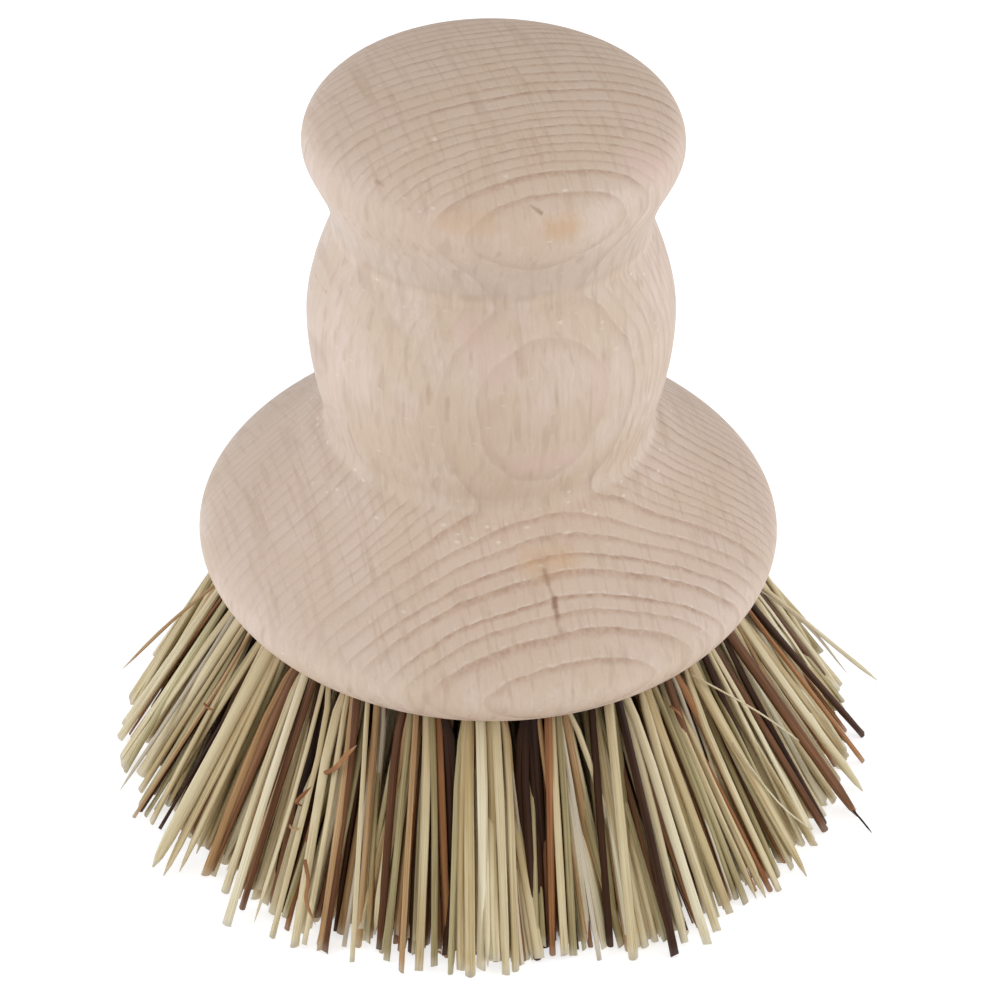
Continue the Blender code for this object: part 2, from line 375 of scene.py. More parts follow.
def buildStroke():
    # a soft stroke from one point to another, all in millimetres
    group, given, out = newGroup(
        "woodStroke",
        [("Place", "Vector", None), ("From", "Vector", (0.0, 0.0, 0.0)),
         ("To", "Vector", (1.0, 0.0, 0.0)), ("Width", "Float", 1.0), ("Tone", "Float", 1.0)],
        [("Stroke", "Float", 0.0)],
    )
    run = vectorMaths(group, "SUBTRACT", given["To"], given["From"])
    away = vectorMaths(group, "SUBTRACT", given["Place"], given["From"])
    along = maths(group, "DIVIDE", vectorMaths(group, "DOT_PRODUCT", away, run),
                  vectorMaths(group, "DOT_PRODUCT", run, run), clamp=True)
    nearest = addNode(group, "VectorMath", {0: run}, operation="SCALE")
    feed(group, nearest.inputs["Scale"], along)
    apart = vectorMaths(group, "DISTANCE", away, nearest.outputs["Vector"])
    ragged = noise(group, given["Place"], *strokeShape["fray"])
    apart = times(group, apart, timesPlus(group, ragged, *strokeShape["frayDepth"]))
    reach = maths(group, "DIVIDE", apart, given["Width"])
    inside = remap(group, reach, *strokeShape["fade"], 1.0, 0.0, smooth=True)
    group.links.new(times(group, inside, given["Tone"]), out["Stroke"])
    return group


def buildGrowthRings():
    # nearly flat upright sheets of growth: how late in its year the wood is, and the dark line that ends it
    group, given, out = newGroup(
        "growthRings",
        [("Place", "Vector", None), ("Waviness", "Float", 0.3)],
        [("Late Wood", "Float", 0.0), ("Line", "Float", 0.0), ("Edge", "Float", 0.0)],
    )
    x, y, z = axes(group, given["Place"])
    shift = maths(group, "DIVIDE", minus(group, x, beech["bendCentre"]), beech["bendLength"])
    soon, fully = beech["levelling"]
    levelled = times(group, maths(group, "TANH", times(group, shift, soon)), fully)
    bent = times(group, minus(group, shift, levelled), beech["bend"])
    sheet = minus(group, y, timesPlus(group, x, beech["sweep"], bent))
    sheet = minus(group, sheet, times(group, z, beech["tilt"]))
    foot, head, further = beech["bulge"]
    bulge = times(group, remap(group, z, *foot, smooth=True), remap(group, z, *head, 1.0, 0.0, smooth=True))
    sheet = timesPlus(group, bulge, -further, sheet)
    close, deep = beech["slowWave"]
    slow = minus(group, noise(group, given["Place"], close, *beech["waveGrain"]), 0.5)
    close, drawn = beech["quickWave"]
    stretched = stretch(group, given["Place"], drawn)
    quick = minus(group, noise(group, stretched, close, *beech["waveGrain"]), 0.5)
    sheet = timesPlus(group, timesPlus(group, slow, deep, quick), given["Waviness"], sheet)
    near, far, foot, head = beech["heart"]
    hidden = times(group, remap(group, sheet, near, far, 1.0, 0.0, smooth=True),
                   remap(group, z, foot, head, smooth=True))
    shown = minus(group, 1.0, hidden)

    # the lines' places and depths of tone come from two curves, drawn through the list of rings
    total = sum(width for width, _ in beech["rings"])
    share = maths(group, "DIVIDE", minus(group, sheet, beech["firstLine"]), total, clamp=True)
    reached, places, tones = 0.0, [(0.0, 0.0)], [(0.0, 0.5)]
    for number, (width, tone) in enumerate(beech["rings"]):
        reached += width
        places.append((reached / total, (number + 1) / len(beech["rings"])))
        tones.append((reached / total, tone))
    count = times(group, drawnCurve(group, share, places), float(len(beech["rings"])))
    year = maths(group, "FRACT", count)
    grain, ends = beech["lineUneven"]
    uneven = remap(group, noise(group, given["Place"], *grain), *ends)
    tone = times(group, times(group, drawnCurve(group, share, tones), shown), uneven)
    rise = remap(group, year, *beech["lineRise"], smooth=True)
    fall = remap(group, year, *beech["lineFall"], 1.0, 0.0, smooth=True)
    late = times(group, maths(group, "POWER", year, beech["lateCurve"]), shown)
    grain, ends = beech["edgeBreaks"]
    broken = remap(group, noise(group, given["Place"], *grain), *ends)
    # just past each line: a raised edge in the bump, and a painted highlight in the colour
    edge = remap(group, year, 0.0, beech["edgeWidth"], 1.0, 0.0)
    group.links.new(late, out["Late Wood"])
    group.links.new(times(group, times(group, rise, fall), tone), out["Line"])
    group.links.new(times(group, edge, times(group, broken, tone)), out["Edge"])
    return group


def drawnCurve(tree, value, points):
    made = addNode(tree, "FloatCurve", {"Value": value})
    curve = made.mapping.curves[0]
    for spot in points[1:-1]:
        curve.points.new(*spot)
    curve.points[0].location = points[0]
    curve.points[-1].location = points[-1]
    for point in curve.points:
        point.handle_type = "VECTOR"
    made.mapping.update()
    return made.outputs["Value"]


def buildRays():
    # thin sheets of ray tissue: long across the rings and a few millimetres tall, seen as lines or flecks
    group, given, out = newGroup(
        "rayTissue",
        [("Place", "Vector", None), ("Size", "Vector", (1.0, 10.0, 3.0)), ("Rarity", "Float", 0.55)],
        [("Rays", "Float", 0.0)],
    )
    turned = addNode(group, "VectorRotate", {"Vector": given["Place"]})
    turned.rotation_type = "Z_AXIS"
    turned.inputs["Angle"].default_value = math.radians(beech["rayTurn"])
    drawn = vectorMaths(group, "DIVIDE", turned.outputs[0], given["Size"])
    above = minus(group, noise(group, drawn, *beech["rayNoise"]), given["Rarity"])
    thin = remap(group, above, 0.0, beech["rayEdge"], smooth=True)
    grain, ends = beech["rayLively"]
    lively = remap(group, noise(group, given["Place"], *grain), *ends)
    group.links.new(times(group, thin, lively), out["Rays"])
    return group


def buildRaisedGrainGlints():
    group, given, out = newGroup("raisedGrainGlints", [("Place", "Vector", None)], [("Flecks", "Float", 0.0)])
    drawn = stretch(group, given["Place"], raisedGrainGlints["spacing"])
    spots = addNode(group, "TexVoronoi", {"Vector": drawn, "Scale": 1.0, "Randomness": 1.0})
    near = remap(group, spots.outputs["Distance"], *raisedGrainGlints["size"], 1.0, 0.0, smooth=True)
    chance = addNode(group, "SeparateColor", {"Color": spots.outputs["Color"]}).outputs["Red"]
    height = axes(group, given["Place"])["Z"]
    scale, common = raisedGrainGlints["anywhere"]
    region = times(group, noise(group, given["Place"], scale, 1.0), common)
    for middle, reach in raisedGrainGlints["bands"]:
        away = maths(group, "ABSOLUTE", minus(group, height, middle))
        core = reach * raisedGrainGlints["bandCore"]
        raised = remap(group, away, core, reach, raisedGrainGlints["inBand"], 0.0, smooth=True)
        region = maths(group, "MAXIMUM", region, raised)
    kept = remap(group, maths(group, "ADD", chance, region), *raisedGrainGlints["rarity"])
    group.links.new(times(group, near, kept), out["Flecks"])
    return group


def beechMaterial():
    material, tree, shader = newMaterial("beech")
    place = vectorMaths(tree, "SUBTRACT", millimetres(tree), (0.0, 0.0, undersideHeight))
    moved = vectorMaths(tree, "ADD", place, beech["elsewhere"])
    side, _, height = axes(tree, place)

    # a face that looks up or down shows end grain, with clear lines, and the sides show soft side grain
    steep = maths(tree, "ABSOLUTE", axes(tree, addNode(tree, "TexCoord").outputs["Normal"])["Z"])
    endGrain = remap(tree, steep, *beech["endGrainFrom"], smooth=True)
    most, low, high, left = beech["sideGrainLine"]
    soft = remap(tree, side, low, high, most * left, most, smooth=True)
    clear = timesPlus(tree, endGrain, minus(tree, 1.0, soft), soft)
    low, high, left = beech["quietSide"]
    clear = times(tree, clear, remap(tree, side, low, high, left, 1.0, smooth=True))

    rings = useGroup(tree, buildGrowthRings(), {"Place": place, "Waviness": beech["waviness"]})
    rayGroup = buildRays()
    rays = []
    for name, spot, share in zip(("fineRays", "broadRays"), (place, moved), beech["sideRays"]):
        size, rarity = beech[name]
        made = useGroup(tree, rayGroup, {"Place": spot, "Size": size, "Rarity": rarity})["Rays"]
        rays.append((made, times(tree, made, timesPlus(tree, endGrain, 1 - share, share))))
    (fineRays, fineSeen), (broadRays, broadSeen) = rays
    # raised grain: bumps, painted pale as highlights
    flecks = useGroup(tree, buildRaisedGrainGlints(), {"Place": place})["Flecks"]
    upright = stretch(tree, place, beech["upright"])
    streaks, hairs = (useGroup(tree, drawnGrain, {"Place": upright, "Fineness": fineness})["Grain"]
                      for fineness in beech["fineness"])
    close, grain, ends = beech["dashes"]
    dashes = remap(tree, noise(tree, stretch(tree, moved, close), 1.0, *grain), *ends, smooth=True)
    dashes = times(tree, dashes, minus(tree, 1.0, endGrain))
    mottle = useGroup(tree, softMottle, {"Place": place, "Size": beech["mottleSize"]})["Mottle"]
    blush = useGroup(tree, softMottle, {"Place": moved, "Size": beech["blushSize"]})["Mottle"]
    sallow = times(tree, minus(tree, 1.0, blush), mottle)
    least = beech["bandOnSide"]
    band = times(tree, rings["Late Wood"], timesPlus(tree, clear, 1 - least, least))
    # the edge beside each line is painted pale as a highlight
    line, edge = times(tree, rings["Line"], clear), times(tree, rings["Edge"], clear)
    # painted shade in the crease at the waist; in the bump it is a small groove
    middle, *ends = beech["crease"]
    away = maths(tree, "ABSOLUTE", minus(tree, height, middle))
    crease = remap(tree, away, *ends, 1.0, 0.0, smooth=True)
    grain, ends = beech["creaseBreaks"]
    crease = times(tree, crease, remap(tree, noise(tree, place, *grain), *ends))
    # painted shade above the waist
    foot, head = beech["paintedWaistShade"]
    paintedWaistShade = times(tree, remap(tree, height, *foot, smooth=True),
                       remap(tree, height, *head, 1.0, 0.0, smooth=True))

    strokeGroup = buildStroke()

    def strokes(marks):
        together = 0.0
        for start, end, width, tone in marks:
            given = {"Place": place, "From": start, "To": end, "Width": width, "Tone": tone}
            together = maths(tree, "MAXIMUM", useGroup(tree, strokeGroup, given)["Stroke"], together)
        return together

    # each tone, the name of its depth and the colour it goes to, from the lowest up
    tones = (
        (mottle, "mottle", "warm"), (blush, "blush", "pink"), (sallow, "sallow", "yellowish"),
        (endGrain, "endGrain", "endGrain"), (band, "lateWood", "lateWood"), (line, "line", "lateWood"),
        (edge, "edge", "raisedGrainGlint"), (fineSeen, "fineRays", "rayAndShade"), (broadSeen, "broadRays", "rayAndShade"),
        (streaks, "streaks", "warm"), (hairs, "hairs", "rayAndShade"), (dashes, "dashes", "rayAndShade"),
        (crease, "crease", "rayAndShade"), (paintedWaistShade, "paintedWaistShade", "shade"),
        (strokes(pinkSpots), "pinkSpots", "pink"), (strokes(yellowSpots), "yellowSpots", "yellow"),
        (strokes(softFlecks), "softFlecks", "rayAndShade"), (strokes(woodMarks), "woodMarks", "mark"),
        (flecks, "flecks", "raisedGrainGlint"),
    )
    colour = beech["pale"]
    for share, depth, towards in tones:
        colour = blendColours(tree, times(tree, share, beech["depths"][depth]), colour, beech[towards])
    tree.links.new(colour, shader.inputs["Base Color"])
    tree.links.new(remap(tree, streaks, 0.0, 1.0, *beech["roughness"]), shader.inputs["Roughness"])
    shader.inputs["Specular IOR Level"].default_value = beech["gloss"]

    shapes = (
        (line, "line"), (hairs, "hairs"), (fineRays, "fineRays"), (broadRays, "broadRays"),
        (flecks, "flecks"), (crease, "crease"), (rings["Edge"], "edge"),
        (noise(tree, place, *beech["pores"]), "pores"),
    )
    relief = 0.0
    for shape, depth in shapes:
        relief = timesPlus(tree, shape, beech["relief"][depth], relief)
    strength, high = beech["bump"]
    bump = addNode(tree, "Bump", {"Strength": strength, "Distance": high * mm, "Height": relief})
    tree.links.new(bump.outputs["Normal"], shader.inputs["Normal"])
    return material


# the turned block

blockShape = {
    "sides": 288,
    "step": 0.5,  # between two rings of points down the outline
    "fewestSteps": 4,
    "sharpAngle": 35.0,  # edges sharper than this stay sharp
    "undersideShare": 0.87,  # of the flange's radius
    "flangeWidestHeight": 4.8,
    "fillet": (18.4, 16.6),  # radius and height above the underside, as for the next five
    "neck": (16.6, 19.5),
    "barrel": (18.3, 31.0),
    "waist": (15.65, 41.4),
    "knob": (18.4, 50.5),
    "crownHandles": (0.58, 0.70),
    "knobUnderHandles": (0.21, 0.49),
    "barrelTopHandles": (0.05, 0.45),
    "barrelFootHandles": (0.52, 0.08),
    "filletHandles": (0.62, 0.45),
    "bellStartHandles": (0.28, 0.30),
    "bellEndHandle": 0.30,
    "rimHandles": (0.38, 0.40),
    "holeRadius": 2.1,
    "holeDepth": 7.5,
    "holeSides": 32,
    "mouthRound": 0.18,  # how far the hole's edge is worn round
    # the worn edge's outline, outward and up, in shares of that, then how the cutter goes on below the mouth
    "mouthOutline": ((0.0, 1.6), (0.3, 0.4), (1.0, -0.8)),
    "cutterEnd": (3.0, -1.6),
    "drillPoint": 0.55,  # height of the hole's cone, as a share of its radius
}

# tufts in a ring, the ring's radius at the hole mouths as a share of the flange's, and its tufts' splay
tuftRings = {
    "outer": (26, 0.816, 28.6),
    "middle": (17, 0.582, 20.3),
    "inner": (9, 0.331, 13.0),
    "centre": (1, 0.0, 0.0),
}


def bend(start, first, second, end):
    # points on a cubic curve without its first; each is (radius, height)
    steps = max(blockShape["fewestSteps"], round(math.dist(start, end) / blockShape["step"]))
    points = []
    for step in range(1, steps + 1):
        t = step / steps
        pulls = ((1 - t) ** 3, 3 * (1 - t) ** 2 * t, 3 * (1 - t) * t**2, t**3)
        corners = (start, first, second, end)
        radius, height = (sum(pull * corner[i] for pull, corner in zip(pulls, corners)) for i in (0, 1))
        points.append((radius, height))
    return points


def uprightBend(start, end, shares):
    drop = start[1] - end[1]
    return bend(start, (start[0], start[1] - drop * shares[0]), (end[0], end[1] + drop * shares[1]), end)


def blockOutline():
    # the turned outline from the top of the crown down to the edge of the underside
    shape = blockShape
    crown, knob, waist, barrel = (0.0, blockHeight), shape["knob"], shape["waist"], shape["barrel"]
    neck, fillet = shape["neck"], shape["fillet"]
    widest = (flangeRadius, shape["flangeWidestHeight"])
    edge = (flangeRadius * shape["undersideShare"], 0.0)
    over, down = shape["crownHandles"]
    outline = [crown] + bend(crown, (knob[0] * over, blockHeight),
                             (knob[0], knob[1] + (blockHeight - knob[1]) * down), knob)
    outline += uprightBend(knob, waist, shape["knobUnderHandles"])
    outline += uprightBend(waist, barrel, shape["barrelTopHandles"])
    outline += uprightBend(barrel, neck, shape["barrelFootHandles"])
    out, fall = shape["bellStartHandles"]
    slope = ((widest[0] - fillet[0]) * out, (widest[1] - fillet[1]) * fall)
    drop = neck[1] - fillet[1]
    back = shape["filletHandles"][1] * drop / -slope[1]
    outline += bend(neck, (neck[0], neck[1] - drop * shape["filletHandles"][0]),
                    (fillet[0] - slope[0] * back, fillet[1] - slope[1] * back), fillet)
    outline += bend(fillet, (fillet[0] + slope[0], fillet[1] + slope[1]),
                    (widest[0], widest[1] + (fillet[1] - widest[1]) * shape["bellEndHandle"]), widest)
    down, along = shape["rimHandles"]
    rimEnd = (edge[0] + (widest[0] - edge[0]) * along, 0.0)
    outline += bend(widest, (widest[0], widest[1] * (1 - down)), rimEnd, edge)
    return outline


def holeFrames():
    # each hole's name, turn, tip radius and frame: -Z runs out of the mouth, +X points outward
    for ring, (count, share, splay) in tuftRings.items():
        mouth = share * flangeRadius
        tips = mouth + undersideHeight * math.tan(math.radians(splay))
        for number in range(count):
            name = f"{ring}_tuft_{number + 1:02d}" if count > 1 else f"{ring}_tuft"
            turn = math.tau * number / count - math.tau / 4
            placed = (Matrix.Rotation(turn, 4, "Z") @ Matrix.Translation((mouth, 0.0, undersideHeight))
                      @ Matrix.Rotation(-math.radians(splay), 4, "Y"))
            yield name, turn, tips, placed


def holeCutters():
    mesh = bmesh.new()
    shape = blockShape
    wear, radius, depth = shape["mouthRound"], shape["holeRadius"], shape["holeDepth"]
    outline = [(radius, depth)]
    outline += [(radius + wear * out, wear * up) for out, up in shape["mouthOutline"]]
    outline.append((radius + wear * shape["cutterEnd"][0], shape["cutterEnd"][1]))
    for _, _, _, placed in holeFrames():
        point = Vector((0.0, 0.0, depth + radius * shape["drillPoint"]))
        tip = mesh.verts.new(placed @ point * mm)
        rings = []
        for across, height in outline:
            ring = []
            for side in range(shape["holeSides"]):
                angle = math.tau * side / shape["holeSides"]
                corner = Vector((across * math.cos(angle), across * math.sin(angle), height))
                ring.append(mesh.verts.new(placed @ corner * mm))
            rings.append(ring)
        for side in range(shape["holeSides"]):
            after = (side + 1) % shape["holeSides"]
            mesh.faces.new((tip, rings[0][side], rings[0][after]))
            for upper, lower in zip(rings, rings[1:]):
                mesh.faces.new((upper[side], lower[side], lower[after], upper[after]))
        mesh.faces.new(rings[-1])
    return newPiece("holeCutters", mesh)


def newPiece(name, mesh, material=None):
    bmesh.ops.recalc_face_normals(mesh, faces=mesh.faces)
    data = bpy.data.meshes.new(name)
    mesh.to_mesh(data)
    mesh.free()
    if material:
        data.materials.append(material)
    piece = bpy.data.objects.new(name, data)
    bpy.context.scene.collection.objects.link(piece)
    return piece


def turnBlock(material):
    mesh = bmesh.new()
    outline = blockOutline()
    sides = blockShape["sides"]
    top = mesh.verts.new((0.0, 0.0, (undersideHeight + outline[0][1]) * mm))
    rings = []
    turns = [math.tau * side / sides for side in range(sides)]
    for radius, height in outline[1:]:
        rings.append([mesh.verts.new((radius * math.cos(turn) * mm, radius * math.sin(turn) * mm,
                                      (undersideHeight + height) * mm)) for turn in turns])
    for side in range(sides):
        after = (side + 1) % sides
        mesh.faces.new((top, rings[0][side], rings[0][after]))
        for upper, lower in zip(rings, rings[1:]):
            mesh.faces.new((upper[side], lower[side], lower[after], upper[after]))
    mesh.faces.new(rings[-1])
    block = newPiece("turnedBlock", mesh, material)
    cutters = holeCutters()
    holes = block.modifiers.new("tuftHoles", "BOOLEAN")
    holes.operation = "DIFFERENCE"
    holes.object = cutters
    graph = bpy.context.evaluated_depsgraph_get()
    drilled = bpy.data.meshes.new_from_object(block.evaluated_get(graph))
    block.modifiers.clear()
    block.data = drilled
    bpy.data.objects.remove(cutters)
    block.data.shade_smooth()
    block.data.set_sharp_from_angle(angle=math.radians(blockShape["sharpAngle"]))
    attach(block, "root")
    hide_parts("turned_block")
    print(f"turned block: {len(block.data.polygons)} faces")


turnBlock(beechMaterial())


# union fibre

# the two colours are the ends of what one fibre may be, width and flatness are (least, most), and "tip" is
# how far the cut end turns pale
# the darkest colour of each kind is used for a fibre's darker stripes and for the painted shade at its root
fibreKinds = {
    "straw": {
        "light": paint(226, 212, 174), "deep": paint(188, 165, 118), "darkTint": paint(150, 118, 76),
        "width": (0.7, 1.15), "flat": (0.5, 0.75), "tip": 0.5,
    },
    "cream": {
        "light": paint(234, 224, 194), "deep": paint(208, 191, 150), "darkTint": paint(176, 148, 102),
        "width": (0.65, 1.1), "flat": (0.5, 0.75), "tip": 0.5,
    },
    "olive": {
        "light": paint(192, 180, 136), "deep": paint(148, 131, 90), "darkTint": paint(110, 88, 54),
        "width": (0.55, 0.9), "flat": (0.5, 0.8), "tip": 0.4,
    },
    "tan": {
        "light": paint(202, 170, 126), "deep": paint(164, 124, 80), "darkTint": paint(118, 78, 46),
        "width": (0.55, 0.9), "flat": (0.6, 0.9), "tip": 0.35,
    },
    "rust": {
        "light": paint(182, 132, 88), "deep": paint(138, 88, 52), "darkTint": paint(98, 56, 32),
        "width": (0.45, 0.75), "flat": (0.7, 0.95), "tip": 0.2,
    },
    "brown": {
        "light": paint(140, 98, 66), "deep": paint(94, 59, 37), "darkTint": paint(60, 35, 21),
        "width": (0.55, 0.85), "flat": (0.65, 0.95), "tip": 0.15,
    },
    "dark": {
        "light": paint(76, 46, 28), "deep": paint(42, 24, 13), "darkTint": paint(28, 15, 8),
        "width": (0.5, 0.9), "flat": (0.65, 0.95), "tip": 0.05,
    },
    "grey": {
        "light": paint(216, 204, 182), "deep": paint(184, 169, 144), "darkTint": paint(142, 124, 98),
        "width": (0.3, 0.5), "flat": (0.6, 0.9), "tip": 0.4,
    },
}
kindNames = list(fibreKinds)

fibreShape = {
    "sides": 10,
    "stations": (0.0, 0.12, 0.3, 0.5, 0.7, 0.86, 0.95, 1.0),
    "inHole": 5.5,  # how far up its hole a fibre reaches
    "bow": 0.45,  # the most that a fibre's middle leaves the straight line, as for the next one
    "faceBow": 0.4,
    "bowFade": 0.4,  # how much less it bows near its tip
    "twist": 70.0,  # over a fibre's length
    "lean": (0.7, 0.25),  # radians that a fibre's flat side turns from outward, inside a tuft and on its face
    "ridge": 0.09,  # depth of the lengthwise grooves, as a share of the width
    "swell": (0.08, 5.0),  # a fibre's width swells slowly and ripples: how much, how often
    "ripple": (0.04, 17.0, 40.0),  # the last is how unlike two fibres' ripples are
    "slant": (0.1, 0.6),  # the least share and the most that a cut end leans, as a share of the width
    "pointed": 0.22,  # share of the fibres that end in a point
    "point": (0.72, 0.85, 1.4),  # where along the fibre it starts, how much it narrows, how late
    "pointSlant": 0.3,
    "looseFlatness": 0.8,
    "looseSteps": 4,  # between two places that a loose fibre passes
    "tipRise": (1.9, 1.6),  # the most that a fibre stops short of the floor, and how rare that is
    "faceTipRise": (1.0, 2.0),
    "floorGap": 0.05,
}

# a place on a fibre is how far round it and how far down it
fibreLook = {
    "roundShare": 0.95,  # so that the way round stays within one fibre's number
    "grain": ((10.0, 1.0, 1.0), 1.0),  # how the streaks are drawn out, and their fineness
    "stripes": ((13.0, 1.6, 1.0), 0.8),
    "patches": ((2.0, 7.0, 1.0), 2.2),  # the last is their size
    # how much of the change between the two colours comes from each, and what is taken off the sum
    "grainShare": 0.55,
    "ownShare": 0.75,
    "patchShare": 0.3,
    "less": 0.3,
    "darkTint": ((0.55, 1.0), 0.55),  # the darker stripes that run along a fibre: from, to, depth
    "root": (0.12, 0.6, 0.4, 0.0),  # painted shade under the flange's rim, darker at the root: from, to, depth at each
    "tipFrom": 0.84,  # paler and greyer towards the cut tip
    "paleTip": paint(216, 208, 190),
    "roughness": (0.45, 0.65),
    "gloss": 0.14,
    "bump": (0.6, 0.05),  # strength and height
}

tuftShape = {
    "fibres": 54,
    "numbersApart": 80,  # each fibre has its own number, and each tuft starts so many further on
    "goldenAngle": 2.39996,  # radians between two fibres, so that they are evenly packed in the hole
    "uneven": 0.1,  # how far they stray from that, in hole radii
    "rootSpread": 1.6,  # radius of the fibres' middles in the hole
    "tipSpread": (2.8, 4.7),  # the same at the tips, outward and sideways
    "wander": 0.7,  # how far a tip strays from its place in the tuft
    "skew": 1.0,  # the tips lean this far towards +X
    # the fibres of the outer face: how far out in the hole they stand, how much of that is left at its
    # sides, how they are pressed into its width, and how much of that is left at the mouth and below it
    "faceDepth": 1.5,
    "faceSides": 0.2,
    "pressed": 0.8,
    "mouthEase": (0.8, 0.25),
    # they lie in layers this far apart, of which these shares show at the mouth and at the tip, and one that
    # crosses the fan lies further out by the millimetre, the fan widening so much towards the tips
    "faceLayer": 0.55,
    "layerShares": (0.5, 0.3),
    "crossing": (0.07, 1.65),
    # behind a face the fibres keep to this share of the hole, shifted inward by so many hole radii, and
    # their tips stand this far inward of where the face ends
    "fillBack": (0.66, -0.38, 0.2),
    "darkShort": 0.6,  # and the dark ones among them end this much further in
    "mix": {
        "straw": 0.32, "cream": 0.14, "olive": 0.12, "tan": 0.12, "rust": 0.04, "brown": 0.13,
        "dark": 0.09, "grey": 0.04,
    },
    # kinds behind the faces, weighted to dark ones so that the gaps between tufts show dark: partly real dark
    # fibre, partly painted shade
    "shadeMix": {"brown": 0.28, "dark": 0.13, "olive": 0.16, "tan": 0.21, "rust": 0.02, "straw": 0.08},
    "faceShare": 1.1,  # how common a face's own kinds are behind it, beside the shade mix
    "fewer": {"dark": 0.25, "brown": 0.65},  # and how much of that such kinds keep
    "seed": 1207,
}

# a face for a tuft that the photograph doesn't show
plainFace = {
    "fibres": 10,
    "firstPlace": -2.3,
    "apart": 0.5,
    "stray": (-0.3, 0.5),
    "fan": (1.5, 1.0),  # how much it widens towards the tips, and how far these stray
    "reach": (35.5, 38.5),
}

